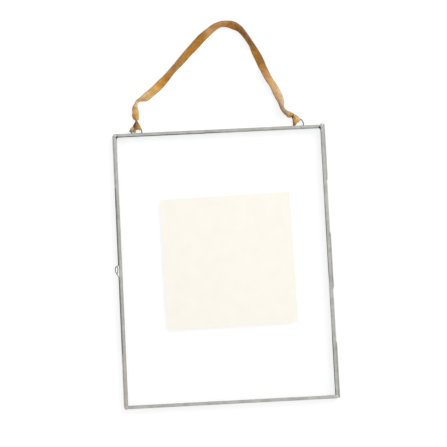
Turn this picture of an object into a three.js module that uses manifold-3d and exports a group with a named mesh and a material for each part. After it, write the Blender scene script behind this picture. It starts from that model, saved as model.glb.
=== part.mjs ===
// A hanging photo frame of thin metal channel, lying on its back.
//
// Two glass panes, each edged with U-shaped rails, shut on each other like a book. The back frame
// carries the hinge tubes, the latch tubes and the hanging loops. The front frame turns on a wire
// that is fixed along its right side, and a spring wire on the left side keeps it shut. A ribbon
// is tied to both loops. +X is to the right, +Y towards the ribbon and +Z out of the front.
// All sizes are in millimetres.

import * as THREE from 'three';
import { mergeVertices } from 'three/addons/utils/BufferGeometryUtils.js';
import Module from 'manifold-3d';

const wasm = await Module();
wasm.setup();

// Frame and rails
const FRAME_WIDTH = 216;
const FRAME_HEIGHT = 279.5;
const RAIL_FACE = 3; // width of a rail seen from the front
const SHEET = 0.6; // thickness of the metal that the rails are folded from
const CORNER_RADIUS = 1.5;
const MITRE_GAP = 0.1; // between two rails at a corner
const DOOR_GAP = 0.3; // between the back frame and the closed front frame

// Glass and card
const GLASS_THICKNESS = 2;
const GLASS_FACE_GAP = 0.2; // between a pane and the rail's flanges
const GLASS_EDGE_GAP = 0.3; // between a pane's edge and the rail's web
const CARD_SIZE = 133;
const CARD_THICKNESS = 0.5;
const CARD_GAP = 0.1; // between the card and the back pane
const CARD_CENTRE = { x: 4, y: 4.8 };
const CARD_TURN = THREE.MathUtils.degToRad(0.8);

// Hinge on the right side, in five equal stretches
const HINGE_STRETCHES = 5;
const HINGE_WIRE_RADIUS = 0.35;
const HINGE_WIRE_GAP = 0.3; // round the wire inside a tube
const HINGE_TUBE_WALL = 0.35;
const HINGE_AXIS_OUT = 0.7; // from the rails' outer side to the hinge axis
const HINGE_END_INSET = 0.2; // from the frame's corner to the first stretch
const HINGE_JOINT_GAP = 0.4; // between one stretch and the next
const HINGE_RUNNING_GAP = 0.3; // between a tube and the front rail that turns round it
const HINGE_SEAT_GAP = 0.2; // between a tube and the back rail that it is soldered to
const CLEAT_REACH = 1; // how far a cleat stands out from the front rail
const CLEAT_LIP = 0.25; // height of a cleat's outer edge
const CLEAT_HEIGHT = 1.5;
const SOLDER_GAP = 0.05; // between two pieces that are soldered together

// Latch on the left side
const LATCH_WIRE_RADIUS = 0.35;
const LATCH_WIRE_GAP = 0.2; // round the wire inside a tube
const LATCH_TUBE_WALL = 0.2;
const LATCH_TUBE_SEAT_GAP = 0.05; // between a latch tube and the back rail
const LATCH_TUBE_LENGTH = 55;
const LATCH_TUBE_INSET = 1; // from the frame's corner to a tube's outer end
const LATCH_INSERTION = 14; // how far the wire reaches into a tube
const LATCH_CRANK_LENGTH = 6.5; // along the side, from a tube to where the wire runs straight
const LATCH_RUN_OUT = 0.7; // from the rail to the middle of the wire's straight run
const LATCH_RUN_RISE = 2.3; // from the front rail's underside to the middle of the straight run
const EYE_OUT = 3.7; // from the rail to the middle of the wire at the eye's outermost point
const EYE_HALF_LENGTH = 3.6;
const EYE_CENTRE_Y = 0.9;
const EYE_RISE = 0.7; // of its highest strand above the straight run
// The finger eye's turns: how far out and how far along, each as a share of the eye's size, and
// the share of its rise. Strands that cross keep clear of each other.
const EYE_COIL = [
  [0, 2.6, -0.14], [0, 1.7, -0.57], [0.1, 1.2, -0.86], [0.4, 1, -0.9], [0.75, 0.85, -0.7],
  [1, 0.3, -0.46], [1, -0.4, -0.38], [0.8, -0.88, -0.28], [0.52, -1, -0.2], [0.3, -0.8, -0.08],
  [0.24, -0.2, 0.03], [0.26, 0.45, 0.18], [0.45, 0.9, 0.36], [0.72, 0.92, 0.55], [0.97, 0.5, 0.74],
  [1, -0.05, 0.88], [0.9, -0.6, 1], [0.62, -1.1, 0.96], [0.3, -1.6, 0.65], [0.06, -2.05, 0.24],
];
const KEEPER_RADIUS = 0.45;
const KEEPER_REACH = 1;
const KEEPER_ABOVE_EYE = 2; // from the eye's upper end to the keeper's middle
const KEEPER_DROP = 1.65; // from the middle of the wire down to the keeper's middle

// Hanging loops on the top rail
const LOOP_WIRE_RADIUS = 0.6;
const LEFT_LOOP_INSET = 24.1; // from the frame's side to the loop's middle
const RIGHT_LOOP_INSET = 25.1;
const LOOP_HALF_WIDTH = 5.1; // to the middle of the wire
const LOOP_LEG = 2; // straight part of a loop's side
const LOOP_ARCH = 6; // height of the arch above the straight part

// Ribbon
const RIBBON_WIDTH = 9.5;
const RIBBON_THICKNESS = 0.8;
const RIBBON_CHAMFER = 0.2;
const RIBBON_FLOOR_GAP = 0.15; // between the ribbon's lowest edge and the table
const RIBBON_STEPS = 54;
const TIE_HALF_SPREAD = 5.6; // half the ribbon's width where it goes round a loop
const TIE_WIRE_GAP = 0.3;
const TIE_COLUMNS = 7;
const TIE_FALL_ROWS = 4; // between the knot and the loop
const TIE_WRAP_ROWS = 6; // round the loop's wire
const KNOT_LIFT = 0.1; // of a knot's middle above the loop's
const KNOT_SHEET_OFFSET = 0.4; // of each end of the tied ribbon from the knot's middle
// Each knot: its middle's place from the loop's top, its radius, and half the ribbon's width in it
const LEFT_KNOT = { right: 0.2, above: 5.85, radius: 1.3, gather: 0.9 };
const RIGHT_KNOT = { right: -8, above: 3.85, radius: 2.3, gather: 1.8 };
const KNOT_HALF_HEIGHT = 1.3;
const LEFT_TIE_TURN = 0; // where the ribbon goes round the loop, left of the loop's top
const RIGHT_TIE_TURN = THREE.MathUtils.degToRad(36);

// The ribbon's route over the table: x, y, and its lean in degrees from lying flat. A lean above
// 0 lifts the ribbon's left edge, seen along the route from the left loop to the right one.
const RIBBON_ROUTE = [
  [-83.7, 155.1, 56],
  [-84.3, 158.4, 46],
  [-83.7, 162.2, 50],
  [-83.6, 166, 58],
  [-83, 169.5, 76],
  [-81.9, 172.3, 80],
  [-78.2, 174.4, 68],
  [-73.3, 176.7, 38],
  [-66.6, 181.4, 43],
  [-58.8, 188.3, 33],
  [-50.5, 195.8, 45],
  [-42.5, 204.5, 50],
  [-34.7, 212.7, 44],
  [-27.5, 220.7, 38],
  [-20.3, 228.1, 33],
  [-13.1, 235.4, 32],
  [-5.3, 241.3, 44],
  [0.9, 245.9, 47],
  [7.9, 248.8, 53],
  [14.5, 248.8, 51],
  [20.3, 247.7, 35],
  [26.2, 243.7, 47],
  [31.9, 236.3, 56],
  [37.2, 227.6, 54],
  [41.6, 219.1, 36],
  [46.2, 210.2, 12],
  [50.2, 201.5, -28],
  [54.1, 192.3, -42],
  [59.3, 183.5, -47],
  [63.2, 174.3, -41],
  [66.4, 166.3, -53],
  [67.4, 159.6, -64],
  [70.2, 155.7, -63],
  [73.3, 153.2, -56],
];

// Sides of the polygons that stand for circles
const TUBE_SIDES = 20;
const WIRE_SIDES = 10;
const RELIEF_SIDES = 28;
const STEPS_PER_BEND = 4; // between two points of a bent wire
const ARCH_POINTS = 9;

const HALF_WIDTH = FRAME_WIDTH / 2;
const HALF_HEIGHT = FRAME_HEIGHT / 2;
const RAIL_DEPTH = GLASS_THICKNESS + 2 * (GLASS_FACE_GAP + SHEET);
const FRONT_BASE = RAIL_DEPTH + DOOR_GAP; // height of the front frame's underside
const HINGE_X = HALF_WIDTH + HINGE_AXIS_OUT;
const HINGE_Z = RAIL_DEPTH + DOOR_GAP / 2;
const HINGE_BORE_RADIUS = HINGE_WIRE_RADIUS + HINGE_WIRE_GAP;
const HINGE_TUBE_RADIUS = HINGE_BORE_RADIUS + HINGE_TUBE_WALL;
const HINGE_PITCH = (FRAME_HEIGHT - 2 * HINGE_END_INSET) / HINGE_STRETCHES;
const HINGE_PIECE_LENGTH = HINGE_PITCH - HINGE_JOINT_GAP;
const LATCH_BORE_RADIUS = LATCH_WIRE_RADIUS + LATCH_WIRE_GAP;
const LATCH_TUBE_RADIUS = LATCH_BORE_RADIUS + LATCH_TUBE_WALL;
const LATCH_AXIS_OUT = LATCH_TUBE_RADIUS + LATCH_TUBE_SEAT_GAP;
const LATCH_AXIS_Z = RAIL_DEPTH / 2;
const LATCH_RUN_Z = FRONT_BASE + LATCH_RUN_RISE;
const LATCH_TUBE_MIDDLE = HALF_HEIGHT - LATCH_TUBE_INSET - LATCH_TUBE_LENGTH / 2;
const LATCH_TUBE_INNER_END = LATCH_TUBE_MIDDLE - LATCH_TUBE_LENGTH / 2;
const LEFT_LOOP_X = -HALF_WIDTH + LEFT_LOOP_INSET;
const RIGHT_LOOP_X = HALF_WIDTH - RIGHT_LOOP_INSET;
const LOOP_Z = RAIL_DEPTH / 2;

const satinMetal = { color: 0xb4b4ae, roughness: 0.38, metalness: 1 };
const darkWire = { color: 0x8d8d89, roughness: 0.34, metalness: 1 };
const clearGlass = { color: 0xf4f8f7, roughness: 0.02, metalness: 0, transparent: true, opacity: 0.15 };
const creamCard = { color: 0xfdf8ea, roughness: 0.9, metalness: 0 };
const tanRibbon = { color: 0xb9803c, roughness: 0.85, metalness: 0 };

/** One sub-part: a named mesh with a material of its own. */
function piece(name, geometry, look) {
  const mesh = new THREE.Mesh(geometry, new THREE.MeshStandardMaterial(look));
  mesh.name = name;
  return mesh;
}

/** A closed geometry as a solid that can be joined and cut. */
function toSolid(geometry) {
  const bare = geometry.clone();
  bare.deleteAttribute('normal');
  bare.deleteAttribute('uv');
  const merged = mergeVertices(bare, 1e-5);
  return new wasm.Manifold(new wasm.Mesh({
    numProp: 3,
    vertProperties: Float32Array.from(merged.attributes.position.array),
    triVerts: Uint32Array.from(merged.index.array),
  }));
}

/** The solid's surface as a geometry again. */
function toGeometry(solid) {
  const mesh = solid.getMesh();
  const geometry = new THREE.BufferGeometry();
  geometry.setAttribute('position', new THREE.BufferAttribute(Float32Array.from(mesh.vertProperties), 3));
  geometry.setIndex(Array.from(mesh.triVerts));
  const faceted = geometry.toNonIndexed();
  faceted.computeVertexNormals();
  return faceted;
}

function cut(geometry, tools) {
  return toGeometry(tools.reduce((solid, tool) => solid.subtract(toSolid(tool)), toSolid(geometry)));
}

/** A straight tube or rod along Y. A bore radius of 0 leaves it solid. */
function tubeAlongY(radius, bore, length, sides) {
  const ring = new THREE.Shape(circlePoints(radius, sides));
  if (bore > 0) {
    ring.holes.push(new THREE.Path(circlePoints(bore, sides)));
  }
  const geometry = new THREE.ExtrudeGeometry(ring, { depth: length, steps: 1, bevelEnabled: false });
  return geometry.translate(0, 0, -length / 2).rotateX(-Math.PI / 2);
}

function circlePoints(radius, sides) {
  return Array.from({ length: sides }, (_, i) => {
    const angle = (2 * Math.PI * (i + 0.5)) / sides;
    return new THREE.Vector2(radius * Math.cos(angle), radius * Math.sin(angle));
  });
}

/** A smooth route whose samples lie closer together where its points do, as in a tight bend. */
class BentRoute extends THREE.CatmullRomCurve3 {
  constructor(points) {
    super(points, false, 'centripetal');
  }

  getPointAt(u, target) {
    return this.getPoint(u, target);
  }

  getTangentAt(u, target) {
    return this.getTangent(u, target);
  }

  getSpacedPoints(divisions) {
    return this.getPoints(divisions);
  }
}

/** A round wire through the points. */
function bentWire(points, radius) {
  return new THREE.ExtrudeGeometry(new THREE.Shape(circlePoints(radius, WIRE_SIDES)), {
    extrudePath: new BentRoute(points),
    steps: (points.length - 1) * STEPS_PER_BEND,
    bevelEnabled: false,
  });
}

/** Turns a place along a side, and a depth in from it, into x and y. */
const SIDES = {
  bottom: (along, inward) => [along, inward - HALF_HEIGHT],
  right: (along, inward) => [HALF_WIDTH - inward, along],
  top: (along, inward) => [-along, HALF_HEIGHT - inward],
  left: (along, inward) => [inward - HALF_WIDTH, -along],
};

/** A U-shaped rail with mitred ends, its channel open to the inside of the frame. */
function railGeometry(side, base) {
  const length = side === 'top' || side === 'bottom' ? FRAME_WIDTH : FRAME_HEIGHT;
  const section = new THREE.Shape([
    [0, 0], [RAIL_FACE, 0], [RAIL_FACE, SHEET], [SHEET, SHEET],
    [SHEET, RAIL_DEPTH - SHEET], [RAIL_FACE, RAIL_DEPTH - SHEET], [RAIL_FACE, RAIL_DEPTH], [0, RAIL_DEPTH],
  ].map(([inward, height]) => new THREE.Vector2(inward, height)));
  const geometry = new THREE.ExtrudeGeometry(section, { depth: 2, steps: 1, bevelEnabled: false });
  const position = geometry.attributes.position;
  for (let i = 0; i < position.count; i += 1) {
    const inward = position.getX(i);
    const height = position.getY(i);
    const end = position.getZ(i) - 1; // -1 or 1
    const along = end * (length / 2 - inward - MITRE_GAP / 2);
    const [x, y] = SIDES[side](along, inward);
    position.setXYZ(i, x, y, base + height);
  }
  const rounded = toSolid(geometry).intersect(toSolid(roundedBlock()));
  return toGeometry(rounded);
}

/** A block with the frame's outline and rounded corners, deeper than both frames together. */
function roundedBlock() {
  const outline = new THREE.Shape();
  const x = HALF_WIDTH - CORNER_RADIUS;
  const y = HALF_HEIGHT - CORNER_RADIUS;
  outline.absarc(x, y, CORNER_RADIUS, 0, Math.PI / 2);
  outline.absarc(-x, y, CORNER_RADIUS, Math.PI / 2, Math.PI);
  outline.absarc(-x, -y, CORNER_RADIUS, Math.PI, 1.5 * Math.PI);
  outline.absarc(x, -y, CORNER_RADIUS, 1.5 * Math.PI, 2 * Math.PI);
  const depth = FRONT_BASE + 2 * RAIL_DEPTH;
  const block = new THREE.ExtrudeGeometry(outline, { depth, curveSegments: 4, bevelEnabled: false });
  return block.translate(0, 0, -RAIL_DEPTH / 2);
}

function paneGeometry(base) {
  const edge = SHEET + GLASS_EDGE_GAP;
  const pane = new THREE.BoxGeometry(FRAME_WIDTH - 2 * edge, FRAME_HEIGHT - 2 * edge, GLASS_THICKNESS);
  return pane.translate(0, 0, base + RAIL_DEPTH / 2);
}

/** Middle of one of the hinge's stretches, counted from the top. */
function hingeMiddle(stretch) {
  return HALF_HEIGHT - HINGE_END_INSET - HINGE_PITCH * (stretch + 0.5);
}

/** What a right rail is cut back by, so that the three hinge tubes have room. */
function hingeReliefs(gap) {
  const length = HINGE_PIECE_LENGTH + HINGE_JOINT_GAP;
  return [0, 2, 4].map((stretch) => (
    tubeAlongY(HINGE_TUBE_RADIUS + gap, 0, length, RELIEF_SIDES).translate(HINGE_X, hingeMiddle(stretch), HINGE_Z)
  ));
}

function hingeTube(stretch) {
  const tube = tubeAlongY(HINGE_TUBE_RADIUS, HINGE_BORE_RADIUS, HINGE_PIECE_LENGTH, TUBE_SIDES);
  return tube.translate(HINGE_X, hingeMiddle(stretch), HINGE_Z);
}

function hingeWire() {
  const length = HINGE_PITCH * HINGE_STRETCHES - HINGE_JOINT_GAP;
  return tubeAlongY(HINGE_WIRE_RADIUS, 0, length, WIRE_SIDES).translate(HINGE_X, 0, HINGE_Z);
}

/** A wedge of solder that holds the hinge wire to the front rail. */
function hingeCleat(stretch) {
  const near = HALF_WIDTH + SOLDER_GAP;
  const low = HINGE_Z + HINGE_WIRE_RADIUS + SOLDER_GAP;
  const section = new THREE.Shape([
    new THREE.Vector2(near, low),
    new THREE.Vector2(HALF_WIDTH + CLEAT_REACH, low),
    new THREE.Vector2(HALF_WIDTH + CLEAT_REACH, low + CLEAT_LIP),
    new THREE.Vector2(near, low + CLEAT_HEIGHT),
  ]);
  const depth = HINGE_PIECE_LENGTH;
  const wedge = new THREE.ExtrudeGeometry(section, { depth, steps: 1, bevelEnabled: false });
  return wedge.rotateX(Math.PI / 2).translate(0, hingeMiddle(stretch) + depth / 2, 0);
}

function latchTube(end) {
  const tube = tubeAlongY(LATCH_TUBE_RADIUS, LATCH_BORE_RADIUS, LATCH_TUBE_LENGTH, TUBE_SIDES);
  return tube.translate(-HALF_WIDTH - LATCH_AXIS_OUT, end * LATCH_TUBE_MIDDLE, LATCH_AXIS_Z);
}

/** The latch wire, from inside one tube to inside the other, with a finger eye halfway. */
function latchWire() {
  const point = (out, y, z) => new THREE.Vector3(-HALF_WIDTH - out, y, z);
  const axis = (y) => point(LATCH_AXIS_OUT, y, LATCH_AXIS_Z);
  const run = (y) => point(LATCH_RUN_OUT, y, LATCH_RUN_Z);
  const crank = (y, share) => point(
    THREE.MathUtils.lerp(LATCH_AXIS_OUT, LATCH_RUN_OUT, share),
    y,
    THREE.MathUtils.lerp(LATCH_AXIS_Z, LATCH_RUN_Z, share),
  );
  const tubeEnd = LATCH_TUBE_INNER_END;
  const crankEnd = tubeEnd - LATCH_CRANK_LENGTH;
  const half = EYE_HALF_LENGTH;
  const eye = EYE_COIL.map(([outward, along, rise]) => point(
    THREE.MathUtils.lerp(LATCH_RUN_OUT, EYE_OUT, outward),
    EYE_CENTRE_Y + along * half,
    LATCH_RUN_Z + rise * EYE_RISE,
  ));
  return bentWire([
    axis(tubeEnd + LATCH_INSERTION),
    axis(tubeEnd),
    axis(tubeEnd - 0.1 * LATCH_CRANK_LENGTH),
    crank(tubeEnd - 0.5 * LATCH_CRANK_LENGTH, 0.5),
    crank(crankEnd, 0.96),
    run(crankEnd - LATCH_CRANK_LENGTH),
    run(EYE_CENTRE_Y + 6 * half),
    ...eye,
    run(EYE_CENTRE_Y - 3 * half),
    run(EYE_CENTRE_Y - 6 * half),
    run(-crankEnd + LATCH_CRANK_LENGTH),
    crank(-crankEnd, 0.96),
    crank(-tubeEnd + 0.5 * LATCH_CRANK_LENGTH, 0.5),
    axis(-tubeEnd + 0.1 * LATCH_CRANK_LENGTH),
    axis(-tubeEnd),
    axis(-tubeEnd - LATCH_INSERTION),
  ], LATCH_WIRE_RADIUS);
}

/** The stud on the front rail that the latch wire grips. */
function latchKeeper() {
  const stud = new THREE.CylinderGeometry(KEEPER_RADIUS, KEEPER_RADIUS, KEEPER_REACH - SOLDER_GAP, TUBE_SIDES);
  const y = EYE_CENTRE_Y + EYE_HALF_LENGTH + KEEPER_ABOVE_EYE;
  const x = -HALF_WIDTH - (KEEPER_REACH + SOLDER_GAP) / 2;
  return stud.rotateZ(Math.PI / 2).translate(x, y, LATCH_RUN_Z - KEEPER_DROP);
}

/** Middle of a loop's wire at an angle left of the loop's top. */
function loopPoint(loopX, angle) {
  return new THREE.Vector3(
    loopX - LOOP_HALF_WIDTH * Math.sin(angle),
    HALF_HEIGHT + LOOP_LEG + LOOP_ARCH * Math.cos(angle),
    LOOP_Z,
  );
}

/** A wire arch whose two feet stand on the outer side of the top rail. */
function hangingLoop(loopX) {
  const foot = (side) => [
    new THREE.Vector3(loopX + side * LOOP_HALF_WIDTH, HALF_HEIGHT + SOLDER_GAP, LOOP_Z),
    new THREE.Vector3(loopX + side * LOOP_HALF_WIDTH, HALF_HEIGHT + LOOP_LEG / 2, LOOP_Z),
  ];
  const arch = Array.from({ length: ARCH_POINTS }, (_, i) => (
    loopPoint(loopX, Math.PI / 2 - (Math.PI * i) / (ARCH_POINTS - 1))
  ));
  return bentWire([...foot(-1), ...arch, ...foot(1).reverse()], LOOP_WIRE_RADIUS);
}

/** A sheet through a grid of points, thickened to both sides and closed all round. */
function thickSheet(grid, thickness) {
  const rows = grid.length;
  const columns = grid[0].length;
  const clampRow = (i) => THREE.MathUtils.clamp(i, 0, rows - 1);
  const clampColumn = (j) => THREE.MathUtils.clamp(j, 0, columns - 1);
  const faces = [[], []];
  for (let i = 0; i < rows; i += 1) {
    for (let j = 0; j < columns; j += 1) {
      const down = grid[clampRow(i + 1)][j].clone().sub(grid[clampRow(i - 1)][j]);
      const across = grid[i][clampColumn(j + 1)].clone().sub(grid[i][clampColumn(j - 1)]);
      const normal = down.cross(across).normalize().multiplyScalar(thickness / 2);
      faces[0].push(grid[i][j].clone().add(normal));
      faces[1].push(grid[i][j].clone().sub(normal));
    }
  }
  const vertices = [...faces[0], ...faces[1]];
  const front = (i, j) => i * columns + j;
  const back = (i, j) => rows * columns + i * columns + j;
  const index = [];
  const quad = (a, b, c, d) => index.push(a, b, c, a, c, d);
  for (let i = 0; i + 1 < rows; i += 1) {
    for (let j = 0; j + 1 < columns; j += 1) {
      quad(front(i, j), front(i + 1, j), front(i + 1, j + 1), front(i, j + 1));
      quad(back(i, j), back(i, j + 1), back(i + 1, j + 1), back(i + 1, j));
    }
    quad(front(i + 1, 0), front(i, 0), back(i, 0), back(i + 1, 0));
    quad(front(i, columns - 1), front(i + 1, columns - 1), back(i + 1, columns - 1), back(i, columns - 1));
  }
  for (let j = 0; j + 1 < columns; j += 1) {
    quad(front(0, j), front(0, j + 1), back(0, j + 1), back(0, j));
    quad(front(rows - 1, j + 1), front(rows - 1, j), back(rows - 1, j), back(rows - 1, j + 1));
  }
  const geometry = new THREE.BufferGeometry();
  const flat = vertices.flatMap((vertex) => vertex.toArray());
  geometry.setAttribute('position', new THREE.Float32BufferAttribute(flat, 3));
  geometry.setIndex(index);
  return geometry;
}

/** A ribbon end: it comes out of the knot, goes round the loop's wire and back into the knot. */
function ribbonTie(loopX, turn, place) {
  const knot = loopPoint(loopX, 0).add(new THREE.Vector3(place.right, place.above, KNOT_LIFT));
  const up = new THREE.Vector3(0, 0, 1);
  const wrapRadius = LOOP_WIRE_RADIUS + TIE_WIRE_GAP + RIBBON_THICKNESS / 2;
  const pull = knot.clone().sub(loopPoint(loopX, turn)).setZ(0).normalize();
  const across = new THREE.Vector3(-pull.y, pull.x, 0);
  const column = (j) => {
    const share = (2 * j) / (TIE_COLUMNS - 1) - 1; // -1 to 1 across the ribbon
    const angle = turn + (share * TIE_HALF_SPREAD) / LOOP_ARCH;
    const wire = loopPoint(loopX, angle);
    const outward = new THREE.Vector3(
      -Math.sin(angle) * LOOP_ARCH, Math.cos(angle) * LOOP_HALF_WIDTH, 0,
    ).normalize();
    const gathered = knot.clone().addScaledVector(across, share * place.gather);
    const fall = (side) => Array.from({ length: TIE_FALL_ROWS }, (_, i) => {
      const start = gathered.clone().addScaledVector(up, side * KNOT_SHEET_OFFSET);
      const end = wire.clone().addScaledVector(up, side * wrapRadius);
      return start.lerp(end, i / TIE_FALL_ROWS);
    });
    const wrap = Array.from({ length: TIE_WRAP_ROWS + 1 }, (_, i) => {
      const round = (Math.PI * i) / TIE_WRAP_ROWS;
      return wire.clone()
        .addScaledVector(up, wrapRadius * Math.cos(round))
        .addScaledVector(outward, -wrapRadius * Math.sin(round));
    });
    return [...fall(1), ...wrap, ...fall(-1).reverse()];
  };
  const columns = Array.from({ length: TIE_COLUMNS }, (_, j) => column(j));
  const grid = columns[0].map((_, i) => columns.map((points) => points[i]));
  const ball = new THREE.SphereGeometry(1, 14, 10).scale(place.radius, place.radius, KNOT_HALF_HEIGHT);
  ball.translate(knot.x, knot.y, knot.z);
  return toGeometry(toSolid(thickSheet(grid, RIBBON_THICKNESS)).add(toSolid(ball)));
}

/** The ribbon's route, with frames that lean the ribbon over as its list says. */
class RibbonRoute extends THREE.CatmullRomCurve3 {
  constructor(stations) {
    const half = RIBBON_WIDTH / 2;
    super(stations.map(([x, y, lean]) => {
      const tilt = THREE.MathUtils.degToRad(Math.abs(lean));
      const height = half * Math.sin(tilt) + (RIBBON_THICKNESS / 2) * Math.cos(tilt) + RIBBON_FLOOR_GAP;
      return new THREE.Vector3(x, y, height);
    }), false, 'centripetal');
    this.leans = stations.map(([, , lean]) => lean);
  }

  leanAt(u) {
    const place = this.getUtoTmapping(u) * (this.leans.length - 1);
    const before = Math.min(Math.floor(place), this.leans.length - 2);
    return THREE.MathUtils.lerp(this.leans[before], this.leans[before + 1], place - before);
  }

  computeFrenetFrames(segments) {
    const frames = { tangents: [], normals: [], binormals: [] };
    for (let i = 0; i <= segments; i += 1) {
      const tangent = this.getTangentAt(i / segments);
      const left = new THREE.Vector3(-tangent.y, tangent.x, 0).normalize();
      const up = tangent.clone().cross(left);
      const lean = THREE.MathUtils.degToRad(this.leanAt(i / segments));
      const across = left.multiplyScalar(Math.cos(lean)).addScaledVector(up, Math.sin(lean));
      frames.tangents.push(tangent);
      frames.normals.push(across);
      frames.binormals.push(tangent.clone().cross(across));
    }
    return frames;
  }
}

/** The free ribbon between its two knots, a flat tube along its route. */
function ribbonRun() {
  const w = RIBBON_WIDTH / 2;
  const t = RIBBON_THICKNESS / 2;
  const c = RIBBON_CHAMFER;
  const section = new THREE.Shape([
    [w - c, -t], [w, -t + c], [w, t - c], [w - c, t], [c - w, t], [-w, t - c], [-w, c - t], [c - w, -t],
  ].map(([x, y]) => new THREE.Vector2(x, y)));
  return new THREE.ExtrudeGeometry(section, {
    extrudePath: new RibbonRoute(RIBBON_ROUTE),
    steps: RIBBON_STEPS,
    bevelEnabled: false,
  });
}

function makeBackFrame() {
  const group = new THREE.Group();
  const rightRail = cut(railGeometry('right', 0), hingeReliefs(HINGE_SEAT_GAP));
  group.add(
    piece('back_rail_top', railGeometry('top', 0), satinMetal),
    piece('back_rail_bottom', railGeometry('bottom', 0), satinMetal),
    piece('back_rail_left', railGeometry('left', 0), satinMetal),
    piece('back_rail_right', rightRail, satinMetal),
    piece('back_glass', paneGeometry(0), clearGlass),
    piece('hinge_tube_top', hingeTube(0), satinMetal),
    piece('hinge_tube_middle', hingeTube(2), satinMetal),
    piece('hinge_tube_bottom', hingeTube(4), satinMetal),
    piece('latch_tube_top', latchTube(1), satinMetal),
    piece('latch_tube_bottom', latchTube(-1), satinMetal),
    piece('hanging_loop_left', hangingLoop(LEFT_LOOP_X), darkWire),
    piece('hanging_loop_right', hangingLoop(RIGHT_LOOP_X), darkWire),
  );
  return group;
}

function makeFrontFrame() {
  const group = new THREE.Group();
  const rightRail = cut(railGeometry('right', FRONT_BASE), hingeReliefs(HINGE_RUNNING_GAP));
  group.add(
    piece('front_rail_top', railGeometry('top', FRONT_BASE), satinMetal),
    piece('front_rail_bottom', railGeometry('bottom', FRONT_BASE), satinMetal),
    piece('front_rail_left', railGeometry('left', FRONT_BASE), satinMetal),
    piece('front_rail_right', rightRail, satinMetal),
    piece('front_glass', paneGeometry(FRONT_BASE), clearGlass),
    piece('hinge_wire', hingeWire(), darkWire),
    piece('hinge_cleat_upper', hingeCleat(1), satinMetal),
    piece('hinge_cleat_lower', hingeCleat(3), satinMetal),
    piece('latch_keeper', latchKeeper(), satinMetal),
  );
  return group;
}

function makeCard() {
  const card = piece('insert_card', new THREE.BoxGeometry(CARD_SIZE, CARD_SIZE, CARD_THICKNESS), creamCard);
  const paneTop = (RAIL_DEPTH + GLASS_THICKNESS) / 2;
  card.position.set(CARD_CENTRE.x, CARD_CENTRE.y, paneTop + CARD_GAP + CARD_THICKNESS / 2);
  card.rotation.z = CARD_TURN;
  return card;
}

function makeHanger() {
  const group = new THREE.Group();
  group.add(
    piece('ribbon_tie_left', ribbonTie(LEFT_LOOP_X, LEFT_TIE_TURN, LEFT_KNOT), tanRibbon),
    piece('ribbon_tie_right', ribbonTie(RIGHT_LOOP_X, RIGHT_TIE_TURN, RIGHT_KNOT), tanRibbon),
    piece('hanging_ribbon', ribbonRun(), tanRibbon),
  );
  return group;
}

const rigid = new THREE.Group();
rigid.add(makeBackFrame(), makeFrontFrame(), makeCard(), piece('latch_wire', latchWire(), darkWire));

// The origin lies on the table, under the middle of everything but the ribbon
const box = new THREE.Box3().setFromObject(rigid, true);
const part = new THREE.Group();
part.add(rigid, makeHanger());
part.position.set(-(box.min.x + box.max.x) / 2, -(box.min.y + box.max.y) / 2, -box.min.z);

export default part;
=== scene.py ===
"""Looks of a hanging photo frame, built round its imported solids.

Sizes and places in the lists are in millimetres from the middle of the frame's outline, with X to
the right, Y towards the ribbon and Z out of the front. at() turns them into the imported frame.
"""

from math import cos, dist, pi, radians, sin

import bmesh
import bpy
from mathutils import Matrix, Vector, noise


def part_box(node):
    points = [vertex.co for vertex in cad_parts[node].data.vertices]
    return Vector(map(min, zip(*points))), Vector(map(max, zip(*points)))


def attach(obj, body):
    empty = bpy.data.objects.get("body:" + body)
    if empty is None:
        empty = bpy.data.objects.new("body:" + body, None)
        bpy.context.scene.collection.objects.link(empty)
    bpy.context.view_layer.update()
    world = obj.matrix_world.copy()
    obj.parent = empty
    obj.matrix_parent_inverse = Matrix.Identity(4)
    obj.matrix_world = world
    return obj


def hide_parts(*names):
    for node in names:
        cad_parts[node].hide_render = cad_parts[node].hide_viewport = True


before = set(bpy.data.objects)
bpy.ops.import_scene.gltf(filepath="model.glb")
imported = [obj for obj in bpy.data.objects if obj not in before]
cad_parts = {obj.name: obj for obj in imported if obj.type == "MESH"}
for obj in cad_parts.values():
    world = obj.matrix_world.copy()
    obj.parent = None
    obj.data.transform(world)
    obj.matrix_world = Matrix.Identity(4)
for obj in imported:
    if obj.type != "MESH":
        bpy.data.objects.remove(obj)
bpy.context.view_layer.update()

MM = 0.001
PANE_LOW, PANE_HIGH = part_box("back_glass")
MIDDLE = (PANE_LOW + PANE_HIGH) / 2
X, Z = Vector((1, 0, 0)), Vector((0, 0, 1))

# Frame and rails, as in the solids
HALF_WIDTH = 108.0
HALF_HEIGHT = 139.75
RAIL_FACE = 3.0
RAIL_DEPTH = 3.6
SHEET = 0.6
DOOR_GAP = 0.3
FRONT_BASE = RAIL_DEPTH + DOOR_GAP
CORNER_RADIUS = 1.5
MITRE_GAP = 0.1

# Hinge
HINGE_OUT = 0.7  # from the rail's outer side to the hinge axis
HINGE_Z = RAIL_DEPTH + DOOR_GAP / 2
HINGE_PITCH = 55.82  # length of one of the five stretches
HINGE_TUBE_RADIUS = 1.0
HINGE_BORE_RADIUS = 0.65
HINGE_WIRE_RADIUS = 0.35
HINGE_JOINT_GAP = 0.4
HINGE_SEAT_GAP = 0.2
HINGE_RUNNING_GAP = 0.3
CLEAT_REACH = 1.0
CLEAT_LIP = 0.25
CLEAT_HEIGHT = 1.5
SOLDER_GAP = 0.05

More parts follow.
